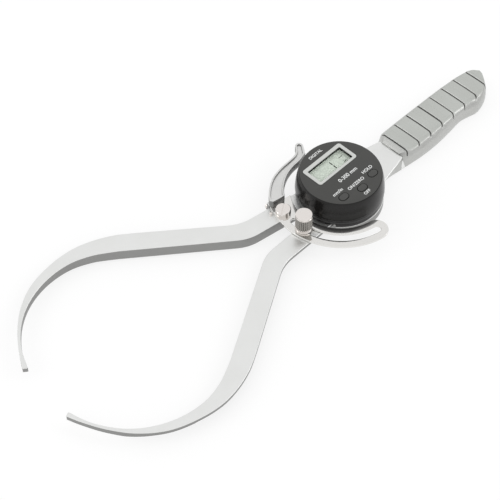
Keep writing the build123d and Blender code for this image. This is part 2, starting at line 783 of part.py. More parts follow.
with BuildPart() as lcd_glass:
    with BuildSketch(fixed(lcd_bottom)):
        with Locations(window_centre):
            Rectangle(window_size[0] + 2.4, window_size[1] + 3.0)
    extrude(amount=lcd_top - lcd_bottom)
lcd_glass.part.label = "lcd_glass"

with BuildPart() as zebra_strips:
    with BuildSketch(fixed(board_top)):
        with Locations((0, window_centre[1] - 6.2), (0, window_centre[1] + 6.2)):
            Rectangle(28.0, 1.6)
    extrude(amount=lcd_bottom - board_top)
zebra_strips.part.label = "zebra_strips"

with BuildPart() as circuit_board:
    with BuildSketch(fixed(board_bottom)):
        Circle(board_radius)
        with Locations(boss_places):
            Circle(boss_radius + 0.3, mode=Mode.SUBTRACT)
    extrude(amount=board_top - board_bottom)
circuit_board.part.label = "circuit_board"

with BuildPart() as key_membrane:
    with BuildSketch(fixed(board_top)):
        with Locations(list(button_places.values())):
            Circle(3.2)
        with Locations((0, 15.6)):
            Rectangle(27.0, 3.0)
    extrude(amount=membrane_thickness)
key_membrane.part.label = "key_membrane"

key_flange_drop = key_flange_thickness + 0.1
stem_bottom = board_top + membrane_thickness + button_travel + 0.1
keys = []
for name, place in button_places.items():
    with BuildPart() as key:
        with BuildSketch(fixed(housing_top - housing_roof - key_flange_drop)):
            with Locations(place):
                SlotOverall(button_size[0] + 1.6, button_size[1] + 1.6)
        extrude(amount=key_flange_thickness)
        with BuildSketch(fixed(housing_top - housing_roof - key_flange_drop)):
            with Locations(place):
                SlotOverall(*button_size)
        extrude(amount=button_top - housing_top + housing_roof + key_flange_drop)
        fillet(key.edges().group_by(Axis.Z)[-1], 0.25)
        with BuildSketch(fixed(stem_bottom)):
            with Locations(place):
                Circle(key_stem_radius)
        extrude(amount=housing_top - housing_roof - key_flange_drop - stem_bottom)
    key.part.label = name
    keys.append(key)

with BuildPart() as base_plate:
    with BuildSketch(fixed(base_plate_bottom)):
        Circle(base_plate_radius)
        Circle(base_plate_hole, mode=Mode.SUBTRACT)
        with Locations(boss_places):
            Circle(boss_clearance_hole, mode=Mode.SUBTRACT)
    extrude(amount=base_plate_top - base_plate_bottom)
    with BuildSketch(fixed(base_plate_bottom)):
        with Locations(boss_places):
            Circle(screw_recess_radius)
    extrude(amount=screw_recess_depth, mode=Mode.SUBTRACT)
base_plate.part.label = "base_plate"

with BuildPart() as encoder_rotor:
    with BuildSketch(moving(rotor_bottom)):
        Circle(rotor_radius)
        Circle(bush_radius, mode=Mode.SUBTRACT)
        with PolarLocations(rotor_window_circle, rotor_windows):
            Rectangle(3.0, 1.6, mode=Mode.SUBTRACT)
    extrude(amount=rotor_top - rotor_bottom)
encoder_rotor.part.label = "encoder_rotor"

with BuildPart() as encoder_stator:
    with BuildSketch(fixed(stator_bottom)):
        Circle(stator_radius)
        Circle(post_radius, mode=Mode.SUBTRACT)
    extrude(amount=carrier_bottom - stator_bottom)
encoder_stator.part.label = "encoder_stator"

with BuildPart() as carrier:
    with BuildSketch(fixed(carrier_bottom)):
        Circle(carrier_radius)
        Circle(post_radius, mode=Mode.SUBTRACT)
    extrude(amount=carrier_top - carrier_bottom)
    with BuildSketch(fixed(base_plate_top)):
        with Locations(boss_places):
            Circle(boss_radius)
    extrude(amount=carrier_bottom - base_plate_top)
    with BuildSketch(fixed(base_plate_top)):
        with Locations(boss_places):
            Circle(boss_clearance_hole)
    extrude(amount=carrier_top - base_plate_top, mode=Mode.SUBTRACT)
carrier.part.label = "carrier"

with BuildPart() as readout_screws:
    with BuildSketch(fixed(base_plate_bottom + 0.1)):
        with Locations(boss_places):
            Circle(screw_recess_radius - 0.1)
    extrude(amount=screw_recess_depth - 0.1)
    with BuildSketch(fixed(base_plate_bottom + screw_recess_depth)):
        with Locations(boss_places):
            Circle(boss_hole)
    extrude(amount=9.5)
readout_screws.part.label = "readout_screws"

with BuildPart() as battery:
    with BuildSketch(fixed(battery_bottom)):
        with Locations(battery_centre):
            Circle(battery_radius)
    extrude(amount=battery_height)
    fillet(battery.edges().group_by(Axis.Z)[0], 0.6)
battery.part.label = "battery"

with BuildPart() as battery_clip:
    clip_thickness = 0.3
    clip_wall = battery_centre[1] + battery_radius + clip_thickness
    with BuildSketch(fixed(battery_bottom - clip_thickness)):
        with Locations((0, battery_centre[1] + 2.0)):
            Rectangle(7.0, 2 * (clip_wall - battery_centre[1] - 2.0))
    extrude(amount=clip_thickness)
    with BuildSketch(fixed(battery_bottom - clip_thickness)):
        with Locations((0, clip_wall - clip_thickness / 2)):
            Rectangle(7.0, clip_thickness)
    extrude(amount=board_bottom - battery_bottom + clip_thickness)
battery_clip.part.label = "battery_clip"

# ---- write one STEP for each piece ---------------------------------------------------------
pieces = [fixed_jaw, hub_skirt, moving_jaw, pivot_post, pivot_bush, thrust_washer, spring_washer, back_cap,
          pivot_nut,
          lock_band, band_screw, band_dowel, thumb_lever, lever_screws, lock_stud, clamp_washer,
          knob_insert, lock_knob, grip_upper, grip_lower, grip_screws, readout_housing, battery_door,
          face_plate, lcd_bezel, lcd_lens, lcd_glass, zebra_strips, circuit_board, key_membrane,
          base_plate, encoder_rotor, encoder_stator, carrier, readout_screws, battery, battery_clip]
pieces += keys

os.makedirs("parts", exist_ok=True)
for piece in pieces:
    export_step(piece.part, f"parts/{piece.part.label}.step")
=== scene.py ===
import bpy, bmesh, math
import numpy as np
from mathutils import Matrix, Vector


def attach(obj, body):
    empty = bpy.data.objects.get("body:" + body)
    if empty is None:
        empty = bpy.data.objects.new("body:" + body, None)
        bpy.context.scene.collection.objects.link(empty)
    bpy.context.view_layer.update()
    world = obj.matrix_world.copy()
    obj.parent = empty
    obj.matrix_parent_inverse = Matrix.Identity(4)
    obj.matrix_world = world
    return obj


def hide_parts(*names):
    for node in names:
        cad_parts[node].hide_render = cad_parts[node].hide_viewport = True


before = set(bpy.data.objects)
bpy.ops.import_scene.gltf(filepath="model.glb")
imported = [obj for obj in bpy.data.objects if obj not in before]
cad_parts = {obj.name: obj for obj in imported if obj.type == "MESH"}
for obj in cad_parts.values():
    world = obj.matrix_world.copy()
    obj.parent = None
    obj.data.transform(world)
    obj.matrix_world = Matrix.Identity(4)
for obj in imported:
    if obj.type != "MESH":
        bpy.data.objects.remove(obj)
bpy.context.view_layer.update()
MM = 0.001
REST = math.radians(-9.8)          # the moving jaw's own frame at rest
LOCK = (38.981, 4.994)             # axis of the lock knob


# ------------------------------------------------------------------ materials
def material(name, colour, rough, metal=0.0, spots=0.0, spot_scale=300.0, bump=0.0, bump_scale=2000.0,
             stretch=(1, 1, 1), coat=0.0, worn=0.0, worn_scale=60.0, spec=0.5):
    """A principled material whose colour, roughness and relief vary over the surface."""
    m = bpy.data.materials.new(name)
    m.use_nodes = True
    nt = m.node_tree
    n, link = nt.nodes, nt.links.new
    b = n["Principled BSDF"]
    b.inputs["Metallic"].default_value = metal
    b.inputs["Specular IOR Level"].default_value = spec
    b.inputs["Coat Weight"].default_value = coat
    b.inputs["Coat Roughness"].default_value = 0.08
    co = n.new("ShaderNodeTexCoord")
    mp = n.new("ShaderNodeMapping")
    mp.inputs["Scale"].default_value = stretch
    link(co.outputs["Object"], mp.inputs["Vector"])
    big = n.new("ShaderNodeTexNoise")
    big.inputs["Scale"].default_value = worn_scale
    big.inputs["Detail"].default_value = 3.0
    link(co.outputs["Object"], big.inputs["Vector"])
    small = n.new("ShaderNodeTexNoise")
    small.inputs["Scale"].default_value = spot_scale
    small.inputs["Detail"].default_value = 4.0
    link(mp.outputs["Vector"], small.inputs["Vector"])
    mix = n.new("ShaderNodeMix")
    mix.data_type = "RGBA"
    mix.inputs["A"].default_value = [c * (1 - spots) for c in colour[:3]] + [1]
    mix.inputs["B"].default_value = [min(1, c * (1 + spots)) for c in colour[:3]] + [1]
    link(small.outputs["Fac"], mix.inputs["Factor"])
    mix2 = n.new("ShaderNodeMix")
    mix2.data_type = "RGBA"
    mix2.blend_type = "MULTIPLY"
    ramp = n.new("ShaderNodeMapRange")
    ramp.inputs["From Min"].default_value = 0.35
    ramp.inputs["From Max"].default_value = 0.7
    ramp.inputs["To Min"].default_value = 0.0
    ramp.inputs["To Max"].default_value = worn
    link(big.outputs["Fac"], ramp.inputs["Value"])
    link(ramp.outputs["Result"], mix2.inputs["Factor"])
    link(mix.outputs["Result"], mix2.inputs["A"])
    mix2.inputs["B"].default_value = (0.75, 0.74, 0.72, 1)
    link(mix2.outputs["Result"], b.inputs["Base Color"])
    rr = n.new("ShaderNodeMapRange")
    rr.inputs["To Min"].default_value = rough * 0.8
    rr.inputs["To Max"].default_value = rough * 1.25
    link(small.outputs["Fac"], rr.inputs["Value"])
    link(rr.outputs["Result"], b.inputs["Roughness"])
    if bump:
        fine = n.new("ShaderNodeTexNoise")
        fine.inputs["Scale"].default_value = bump_scale
        fine.inputs["Detail"].default_value = 2.0
        link(mp.outputs["Vector"], fine.inputs["Vector"])
        bp = n.new("ShaderNodeBump")
        bp.inputs["Strength"].default_value = bump
        bp.inputs["Distance"].default_value = 0.0002
        link(fine.outputs["Fac"], bp.inputs["Height"])
        link(bp.outputs["Normal"], b.inputs["Normal"])
    return m


M = {
    "top": material("jaw_satin", (0.84, 0.845, 0.835), 0.34, 1.0, 0.03, 900, 0.05, 3000, (1, 8, 1),
                    worn=0.12),
    # side: a darker grey copy of the jaw steel for walls and undersides, painted shade standing in for the
    # shadowed floor they reflect
    "side": material("jaw_wall_painted_shade", (0.30, 0.30, 0.295), 0.42, 0.9, 0.08, 700, 0.15, 2500, (1, 1, 6), worn=0.2),
    "band": material("band_mirror", (0.80, 0.79, 0.77), 0.10, 1.0, 0.02, 1200, 0.02, 3000, worn=0.08),
    "screw": material("screw_nickel", (0.82, 0.78, 0.75), 0.16, 1.0, 0.04, 900, 0.04, 4000, (1, 6, 1),
                      worn=0.1),
    # knurl: a darker copy of the knob's nickel for its fluted side, painted shade
    "knurl": material("knurl_nickel_painted_shade", (0.34, 0.325, 0.305), 0.26, 1.0, 0.06, 900, 0.08, 4000, worn=0.2),
    "steel": material("plain_steel", (0.5, 0.5, 0.5), 0.3, 1.0, 0.06, 900, 0.1, 3000, worn=0.15),
    "shell": material("shell_gloss", (0.010, 0.0095, 0.009), 0.22, 0.0, 0.25, 500, 0.04, 1800, spec=0.28),
    "face": material("face_satin", (0.050, 0.050, 0.047), 0.45, 0.0, 0.10, 1500, 0.10, 5000),
    "bezel": material("bezel_grey", (0.62, 0.63, 0.61), 0.35, 0.0, 0.03, 900, 0.05, 4000),
    "key": material("key_grey", (0.055, 0.055, 0.052), 0.4, 0.0, 0.10, 900, 0.1, 4000),
    "ink": material("label_ink", (0.90, 0.91, 0.90), 0.5, 0.0, 0.06, 2500, 0.05, 4000),
    "lcd": material("lcd_field", (0.82, 0.87, 0.80), 0.3, 0.0, 0.04, 350, 0.02, 3000),
    "segment": material("lcd_segment", (0.03, 0.035, 0.03), 0.4, 0.0, 0.1, 900),
    "lever": material("lever_cast", (0.74, 0.74, 0.73), 0.36, 1.0, 0.05, 1200, 0.18, 2500, worn=0.15),
    # grip and pad are lit and shaded copies of the grip casting: pad, lighter, on the upward-facing top is
    # painted light; grip, darker, on the sides is painted shade
    "grip": material("grip_cast", (0.52, 0.525, 0.51), 0.34, 1.0, 0.07, 700, 0.22, 2600, worn=0.25),
    "pad": material("grip_top_painted_light", (0.57, 0.585, 0.56), 0.5, 0.85, 0.06, 900, 0.3, 3200, worn=0.18),
    # groove: near-black colour for faces along each groove line, painted shade in the groove
    "groove": material("grip_groove_painted_shade", (0.10, 0.10, 0.095), 0.6, 0.3, 0.2, 700, 0.1, 2600),
    "bronze": material("bronze", (0.45, 0.30, 0.14), 0.35, 1.0, 0.08, 900, 0.1, 3000, worn=0.2),
    "board": material("board_green", (0.02, 0.10, 0.05), 0.4, 0.0, 0.15, 900, 0.1, 3000, coat=0.2),
    "rubber": material("rubber", (0.05, 0.05, 0.05), 0.7, 0.0, 0.1, 900, 0.2, 3000),
    "cap": material("cap_black", (0.02, 0.02, 0.02), 0.45, 0.0, 0.15, 900, 0.15, 3000),
    "alloy": material("carrier_alloy", (0.5, 0.5, 0.5), 0.4, 1.0, 0.08, 900, 0.15, 2500, worn=0.2),
}
glass = material("lens_clear", (0.95, 0.97, 0.95), 0.03, 0.0, 0.01, 900, 0.01, 3000)
glass.node_tree.nodes["Principled BSDF"].inputs["Transmission Weight"].default_value = 1.0
glass.node_tree.nodes["Principled BSDF"].inputs["IOR"].default_value = 1.10
M["glass"] = glass


# ------------------------------------------------------------------ mesh helpers
def build(name, verts, faces, mats, body, mat_index=None, replaces=(), turn=0.0, angle=35,
          flat=True):
    """A mesh object from millimetre vertices, turned about the hinge axis and set to ride on a body.

    With flat set, faces that lie level are shaded flat, so that their reflections stay straight.
    """
    c, s = math.cos(turn), math.sin(turn)
    vs = [((x * c - y * s) * MM, (x * s + y * c) * MM, z * MM) for x, y, z in verts]
    me = bpy.data.meshes.new(name)
    me.from_pydata(vs, [], faces)
    me.validate()
    bm = bmesh.new()
    bm.from_mesh(me)
    bmesh.ops.remove_doubles(bm, verts=bm.verts, dist=1e-6)
    bmesh.ops.recalc_face_normals(bm, faces=bm.faces)
    if mat_index:
        bm.faces.ensure_lookup_table()
    bm.to_mesh(me)
    bm.free()
    for key in mats:
        me.materials.append(M[key])
    me.polygons.foreach_set("use_smooth", [not flat or abs(p.normal.z) < 0.9995 for p in me.polygons])
    me.set_sharp_from_angle(angle=math.radians(angle))
    if mat_index:
        for p in me.polygons:
            p.material_index = mat_index(p)
    o = bpy.data.objects.new(name, me)
    bpy.context.collection.objects.link(o)
    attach(o, body)
    if replaces:
        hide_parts(*replaces)
    return o


def ring_faces(rings, n, close=True):
    """Quads between successive rings of n points, whose first index is given for each ring."""
    faces = []
    last = n if close else n - 1
    for a, b in zip(rings, rings[1:]):
        for i in range(last):
            j = (i + 1) % n
            faces.append((a + i, a + j, b + j, b + i))
    return faces


def loft(rings, cap=True):
    """A closed skin through rings that all have the same number of points."""
    n = len(rings[0])
    verts = [tuple(p) for r in rings for p in r]
    starts = [i * n for i in range(len(rings))]
    faces = ring_faces(starts, n)
    if cap:
        faces.append(tuple(range(n))[::-1])
        faces.append(tuple(starts[-1] + i for i in range(n)))
    return verts, faces


def revolve(profile, centre=(0, 0), n=128):
    """Turn a closed or open (radius, height) profile about a vertical axis."""
    verts, faces = [], []
    m = len(profile)
    for i in range(n):
        a = 2 * math.pi * i / n
        verts += [(centre[0] + r * math.cos(a), centre[1] + r * math.sin(a), z) for r, z in profile]
    for i in range(n):
        j = (i + 1) % n
        for k in range(m - 1):
            faces.append((i * m + k, j * m + k, j * m + k + 1, i * m + k + 1))
    return verts, faces


def join(*parts):
    verts, faces = [], []
    for v, f in parts:
        base = len(verts)
        verts += list(v)
        faces += [tuple(base + i for i in q) for q in f]
    return verts, faces


def plate(outlines, z0, z1, bevel, segments=3):
    """Vertices and faces of a flat plate with rounded edges; later outlines are holes."""
    cu = bpy.data.curves.new("plate", "CURVE")
    cu.dimensions = "2D"
    cu.fill_mode = "BOTH"
    cu.extrude = (z1 - z0) / 2 - bevel
    cu.bevel_depth = bevel
    cu.offset = -bevel
    cu.bevel_resolution = segments
    for pts in outlines:
        sp = cu.splines.new("POLY")
        sp.points.add(len(pts) - 1)
        for q, (x, y) in zip(sp.points, pts):
            q.co = (x, y, 0, 1)
        sp.use_cyclic_u = True
    ob = bpy.data.objects.new("plate", cu)
    bpy.context.collection.objects.link(ob)
    dg = bpy.context.evaluated_depsgraph_get()
    me = bpy.data.meshes.new_from_object(ob.evaluated_get(dg))
    mid = (z0 + z1) / 2
    verts = [(v.co.x, v.co.y, v.co.z + mid) for v in me.vertices]
    faces = [tuple(p.vertices) for p in me.polygons]
    bpy.data.objects.remove(ob)
    bpy.data.curves.remove(cu)
    bpy.data.meshes.remove(me)
    return verts, faces


def spline(points, per=12):
    """A smooth open curve through points (centripetal Catmull-Rom)."""
    p = [np.array(q, float) for q in points]
    p = [2 * p[0] - p[1]] + p + [2 * p[-1] - p[-2]]
    out = []
    for a, b, c, d in zip(p, p[1:], p[2:], p[3:]):
        t0 = 0.0
        t1 = t0 + np.linalg.norm(b - a) ** 0.5
        t2 = t1 + np.linalg.norm(c - b) ** 0.5
        t3 = t2 + np.linalg.norm(d - c) ** 0.5
        for t in np.linspace(t1, t2, per, endpoint=False):
            a1 = (t1 - t) / (t1 - t0) * a + (t - t0) / (t1 - t0) * b
            a2 = (t2 - t) / (t2 - t1) * b + (t - t1) / (t2 - t1) * c
            a3 = (t3 - t) / (t3 - t2) * c + (t - t2) / (t3 - t2) * d
            b1 = (t2 - t) / (t2 - t0) * a1 + (t - t0) / (t2 - t0) * a2
            b2 = (t3 - t) / (t3 - t1) * a2 + (t - t1) / (t3 - t1) * a3
            out.append(tuple((t2 - t) / (t2 - t1) * b1 + (t - t1) / (t2 - t1) * b2))
    out.append(tuple(p[-2]))
    return out


def corner_arc(a, c, b, radius, n=14):
    """Points of the arc that rounds corner c between a and b."""
    a, b, c = (np.array(q, float) for q in (a, b, c))
    u, v = (a - c) / np.linalg.norm(a - c), (b - c) / np.linalg.norm(b - c)
    half = math.acos(float(np.clip(u @ v, -1, 1))) / 2
    d = radius / math.tan(half)
    centre = c + (u + v) / np.linalg.norm(u + v) * radius / math.sin(half)
    p, q = c + u * d, c + v * d
    out = []
    a0 = math.atan2(*(p - centre)[::-1])
    a1 = math.atan2(*(q - centre)[::-1])
    d = (a1 - a0 + math.pi) % (2 * math.pi) - math.pi
    for i in range(n + 1):
        t = a0 + d * i / n
        out.append((centre[0] + radius * math.cos(t), centre[1] + radius * math.sin(t)))
    return out


def resample(points, n):
    p = np.array(points, float)
    s = np.r_[0, np.cumsum(np.linalg.norm(np.diff(p, axis=0), axis=1))]
    t = np.linspace(0, s[-1], n)
    return np.c_[np.interp(t, s, p[:, 0]), np.interp(t, s, p[:, 1])]


def arc(radius, a0, a1, n=64, centre=(0, 0)):
    return [(centre[0] + radius * math.cos(math.radians(a)), centre[1] + radius * math.sin(math.radians(a)))
            for a in np.linspace(a0, a1, n)]


def pill(centre, length, width, n=20):
    """An oval key outline: straight sides and round ends."""
    r, h = width / 2, (length - width) / 2
    pts = arc(r, -90, 90, n, (centre[0] + h, centre[1])) + arc(r, 90, 270, n, (centre[0] - h, centre[1]))
    return pts


def rounded(cx, cy, w, h, r, n=8):
    pts = []
    for sx, sy, a in ((1, 1, 0), (-1, 1, 90), (-1, -1, 180), (1, -1, 270)):
        pts += arc(r, a, a + 90, n, (cx + sx * (w / 2 - r), cy + sy * (h / 2 - r)))
    return pts


# ------------------------------------------------------------------ jaws
IN_BOW = [(141.0, 41.6), (148.7, 45.2), (156.2, 48.3), (171.0, 51.1), (189.0, 48.6), (205.5, 40.9),
          (218.3, 29.3), (227.5, 14.0), (231.5, 0.15)]
OUT_BOW = [(125.0, 48.0), (137.0, 54.2), (151.0, 58.5), (165.0, 60.0), (181.5, 57.5), (199.5, 50.6),
           (214.0, 38.7), (224.5, 24.0), (231.5, 9.5), (234.4, 1.6)]


def jaw_sections(top):
    inner = [(25.75, 1.8)] + corner_arc((8, 1.8), (70.0, 1.8), IN_BOW[0], 28.0) + spline(IN_BOW)
    outer = [(21.1, 14.9)] + corner_arc((8, 14.9), (67.5, 14.9), OUT_BOW[0], 30.0) + spline(OUT_BOW)
    n = 240
    a, b = resample(inner, n), resample(outer, n)
    rings = []
    for i in range(n):
        p, q = a[i], b[i]
        w = np.linalg.norm(q - p)
        d = (q - p) / w
        x = p[0]
        low = 0.6 if x < 140 else 0.6 + (x - 140) * 4.3 / 91.5
        r = min(0.45, w * 0.15)
        rib = min(5.0, w * 0.72)
        under = max(top - 2.7, low + 0.02) if w > 5.5 else max(top - 2.7 - (5.5 - w) * 0.7, low + 0.02)
        prof = [(0, low + 0.3), (0, top - r)]
        prof += [(r - r * math.cos(t), top - r + r * math.sin(t)) for t in np.linspace(0, math.pi / 2, 5)[1:]]
        prof += [(w - r + r * math.sin(t), top - r + r * math.cos(t)) for t in np.linspace(0, math.pi / 2, 5)]
        prof += [(w, under + 0.3), (w - 0.3, under), (rib, under), (rib, low), (0.3, low)]
        rings.append([(p[0] + d[0] * s, p[1] + d[1] * s, z) for s, z in prof])
    # round off the nib
    for k, shrink in ((0.35, 0.75), (0.6, 0.35)):
        last = np.array(rings[n - 1])
        c = last.mean(axis=0)
        ring = c + (last - c) * shrink + np.array([0.10, -1.0, 0]) * k
        ring[:, 1] = np.maximum(ring[:, 1], 0.12)
        rings.append([tuple(v) for v in ring])
    return rings


def jaw(side, top):
    rings = jaw_sections(top)
    if side < 0:
        rings = [[(x, -y, z) for x, y, z in r] for r in rings]
    return loft(rings)


def jaw_paint(p):
    """Light polished top faces; walls and underside take the darker grey as painted shade, standing in for the
    shadowed floor they reflect.
    """
    return 0 if p.normal.z > 0.35 else 1


def near_paint(p):
    """As jaw_paint, but the neck's sides are cast like the grip."""
    if p.normal.z > 0.35:
        return 0
    return 2 if p.center.x < -23 * MM else 1


def disc(r_in, r_out, z0, z1, edge=0.3, n=128):
    prof = [(r_in, z0), (r_out - edge, z0), (r_out, z0 + edge), (r_out, z1 - edge), (r_out - edge, z1),
            (r_in, z1), (r_in, z0)]
    return revolve(prof, n=n)


NECK = np.array([(-23.0, 16.6, 12.0), (-29.0, 14.6, 11.4), (-37.0, 12.9, 11.5), (-43.5, 11.6, 12.3),
                 (-50.0, 10.0, 13.1)])
neck_top = np.array(spline([(x, t) for x, t, b in NECK], 10))
neck_low = np.array(spline([(x, b) for x, t, b in NECK], 10))


def neck_ring(x):
    """Section of the neck: flat top, rounded top edges, sides that lean out towards the grip."""
    t = float(np.interp(-x, -neck_top[:, 0], neck_top[:, 1]))
    b = float(np.interp(-x, -neck_low[:, 0], neck_low[:, 1]))
    r = 0.7
    half = [(t - r + r * math.sin(a), 8.75 - r + r * math.cos(a)) for a in np.linspace(0, math.pi / 2, 6)]
    half += [(t + (b - t) * k ** 1.3, 8.05 - 6.6 * k) for k in np.linspace(0.15, 1, 8)]
    half += [(b - 0.3, 0.85), (b - 1.0, 0.6)]
    return [(x, y, z) for y, z in half] + [(x, -y, z) for y, z in half[::-1]]


tang = plate([rounded(-89.3, 0, 77, 14, 1.0)], 3.0, 8.7, 0.4)
neck = loft([neck_ring(x) for x in np.linspace(-23.4, -50.0, 50)])
flange = plate([arc(28.6, 37.5, 139.0, 60) + arc(24.5, 139.0, 37.5, 60)], 1.0, 7.2, 0.3)
fixed_v, fixed_f = join(jaw(1, 8.75), disc(6.0, 25.0, 1.0, 4.6), neck, tang, flange)
build("jaw_near", fixed_v, fixed_f, ["top", "side", "grip"], "frame", near_paint, ["fixed_jaw"])
mv, mf = join(jaw(-1, 9.0), disc(7.6, 24.2, 5.0, 9.0))
build("jaw_far", mv, mf, ["top", "side"], "moving_jaw", jaw_paint, ["moving_jaw"], turn=REST)

# ------------------------------------------------------------------ lock band
BAND_R, BAND_W, SLOT_W = 39.3, 7.3, 2.6
r_out, r_in = BAND_R + BAND_W, BAND_R - BAND_W
start_in = -math.degrees(math.asin(14.6 / r_in))
corner = (r_out * math.cos(math.radians(-13)), r_out * math.sin(math.radians(-13)))
end_c = (BAND_R * math.cos(math.radians(88.8)), BAND_R * math.sin(math.radians(88.8)))
band_outline = (arc(r_out, -13, 88.8, 90) + arc(BAND_W, 88.8, 268.8, 28, end_c)[1:-1]
                + arc(r_in, 88.8, start_in, 90) + [(corner[0] - 1.0, -14.6)])
slot_a = (BAND_R * math.cos(math.radians(6.1)), BAND_R * math.sin(math.radians(6.1)))
slot_outline = (arc(BAND_R + SLOT_W, 6.1, 88.8, 80) + arc(SLOT_W, 88.8, 268.8, 16, end_c)[1:-1]
                + arc(BAND_R - SLOT_W, 88.8, 6.1, 80) + arc(SLOT_W, -173.9, 6.1, 16, slot_a)[1:-1])
bv, bf = plate([band_outline, slot_outline], 9.0, 10.6, 0.18, 3)
build("lock_band_plate", bv, bf, ["band"], "moving_jaw", None, ["lock_band"], turn=REST)

# ------------------------------------------------------------------ thumb lever
LEV_OUT = [(44.8, -14.6), (42.4, -18.9), (37.0, -24.9), (31.4, -29.2), (23.3, -32.6), (15.6, -34.4),
           (9.2, -36.2), (6.0, -38.6), (4.6, -41.2)]
LEV_IN = [(-0.6, -38.9), (2.4, -33.5), (9.1, -30.4), (16.1, -28.5), (22.2, -25.7), (27.2, -22.0),
          (31.7, -17.1), (34.6, -12.4)]
tip_c, tip_r = (1.95, -40.65), 2.65
lev_outline = spline(LEV_OUT, 8)
lev_outline += arc(tip_r, -25, -205, 22, tip_c)
lev_outline += spline(LEV_IN[1:], 8) + [(43.4, -12.7)]


def inset(points, d):
    p = np.array(points)
    nxt, prv = np.roll(p, -1, 0), np.roll(p, 1, 0)
    t = nxt - prv
    t /= np.linalg.norm(t, axis=1)[:, None] + 1e-9
    area = 0.5 * float(np.sum(p[:, 0] * nxt[:, 1] - nxt[:, 0] * p[:, 1]))
    s = 1 if area > 0 else -1
    nrm = np.c_[-t[:, 1], t[:, 0]] * s
    dense = np.concatenate([p + (nxt - p) * k for k in np.linspace(0, 1, 12, endpoint=False)])
    kept = []
    for q in p + nrm * d:
        clear = np.min(np.linalg.norm(dense - q, axis=1)) > 0.96 * d
        if clear and (not kept or np.linalg.norm(q - kept[-1]) > 0.35):
            kept.append(q)
    return [tuple(q) for q in kept]


lev_inner = inset(lev_outline, 1.25)
web = plate([lev_outline], 10.6, 15.4, 0.5)
rim = plate([lev_outline, lev_inner], 14.6, 16.5, 0.42, 3)
foot = plate([rounded(40.3, -16.5, 8.6, 3.2, 0.6)], 1.6, 10.8, 0.35)
lv, lf = join(web, rim, foot)
# the lever's walls take the darker side grey as painted shade
build("thumb_lever_cast", lv, lf, ["lever", "side"], "moving_jaw",
      lambda p: 0 if p.normal.z > 0.25 else 1, ["thumb_lever"], turn=REST)

# ------------------------------------------------------------------ readout
wall = [(26.6, 9.42), (28.0, 9.42), (28.35, 9.8), (28.5, 11.9), (28.15, 12.15), (28.15, 12.45), (28.6, 12.75),
        (28.62, 14.5), (28.4, 17.5), (27.9, 21.0), (27.2, 24.6), (26.75, 26.3), (26.45, 27.0), (26.05, 27.3),
        (25.6, 27.1), (25.6, 25.4), (24.6, 25.4), (26.0, 18.0), (26.6, 9.42)]
smooth = spline(wall[5:13], 5)
wall = wall[:5] + smooth + wall[13:]
hv, hf = revolve(wall, n=160)
KEYS = {"hold_button": (-13.4, 15.05), "zero_button": (0.0, 18.3), "unit_button": (13.6, 15.05)}
roof_holes = [rounded(0, -9.05, 31.3, 13.2, 0.4)] + [pill(c, 7.5, 5.3) for c in KEYS.values()]
roof = plate([arc(25.7, 0, 357, 120)] + roof_holes, 25.5, 27.08, 0.05, 1)
hv, hf = join((hv, hf), roof)
build("readout_shell", hv, hf, ["shell"], "frame", None, ["readout_housing"])
face_holes = [rounded(0, -9.45, 34.65, 16.35, 1.8)] + [pill(c, 7.5, 5.3) for c in KEYS.values()]
fv, ff = plate([arc(26.05, 0, 357.5, 144)] + face_holes, 27.1, 27.5, 0.12, 2)
build("readout_face", fv, ff, ["face"], "frame", None, ["face_plate"])
border = plate([rounded(0, -9.45, 34.5, 16.2, 1.8), rounded(0, -9.05, 29.7, 11.6, 0.7)], 27.1, 27.85, 0.28, 3)
lip = plate([rounded(0, -9.05, 31.1, 13.0, 0.5), rounded(0, -9.05, 29.6, 11.5, 0.5)], 25.5, 27.3, 0.05, 1)
zv, zf = join(border, lip)
# the frame's walls below its top, lining the recess over the glass, take the black shell colour: painted shade
# in the recess
build("display_frame", zv, zf, ["bezel", "shell"], "frame",
      lambda p: 1 if p.center.z < 27.55 * MM and abs(p.normal.z) < 0.8 else 0, ["lcd_bezel"])
for node, c in KEYS.items():
    cap = plate([pill(c, 6.7, 4.5)], 25.5, 27.8, 0.3, 3)
    flange = plate([pill(c, 8.7, 6.5)], 24.4, 25.4, 0.1, 1)
    stem = revolve([(0.02, 23.2), (1.3, 23.2), (1.4, 23.4), (1.4, 24.5)], c, 24)
    kv, kf = join(cap, flange, stem)
    build(node + "_cap", kv, kf, ["key"], node, None, [node])
gv, gf = plate([rounded(0, -9.05, 32.0, 14.5, 0.4)], 23.6, 24.9, 0.1)
build("display_glass", gv, gf, ["lcd"], "frame", None, ["lcd_glass"])
bars = []


def bar(x, y, w, h):
    bars.append(plate([rounded(x, y, w, h, min(w, h) * 0.3, 4)], 24.86, 24.94, 0.01, 1))


bar(-2.4, -10.55, 0.75, 3.0)
bar(-2.4, -6.95, 0.75, 3.0)
bar(-10.9, -10.2, 3.6, 0.35)
sv, sf = join(*bars)
build("display_digit", sv, sf, ["segment"], "frame")


def label(name, text, x, y, size, z, mat, body="frame", extrude=0.012):
    cu = bpy.data.curves.new(name, "FONT")
    cu.body = text
    cu.size = size * MM
    cu.extrude = extrude * MM
    cu.offset = 0.04 * MM
    cu.align_x = "CENTER"
    cu.align_y = "CENTER"
    cu.materials.append(M[mat])
    o = bpy.data.objects.new(name, cu)
    o.location = (x * MM, y * MM, z * MM)
    o.rotation_euler = (0, 0, math.pi)
    bpy.context.collection.objects.link(o)
    dg = bpy.context.evaluated_depsgraph_get()
    me = bpy.data.meshes.new_from_object(o.evaluated_get(dg))
    me.transform(o.matrix_world)
    p = bpy.data.objects.new(name + "_mark", me)
    bpy.context.collection.objects.link(p)
    bpy.data.objects.remove(o)
    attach(p, body)
    return p


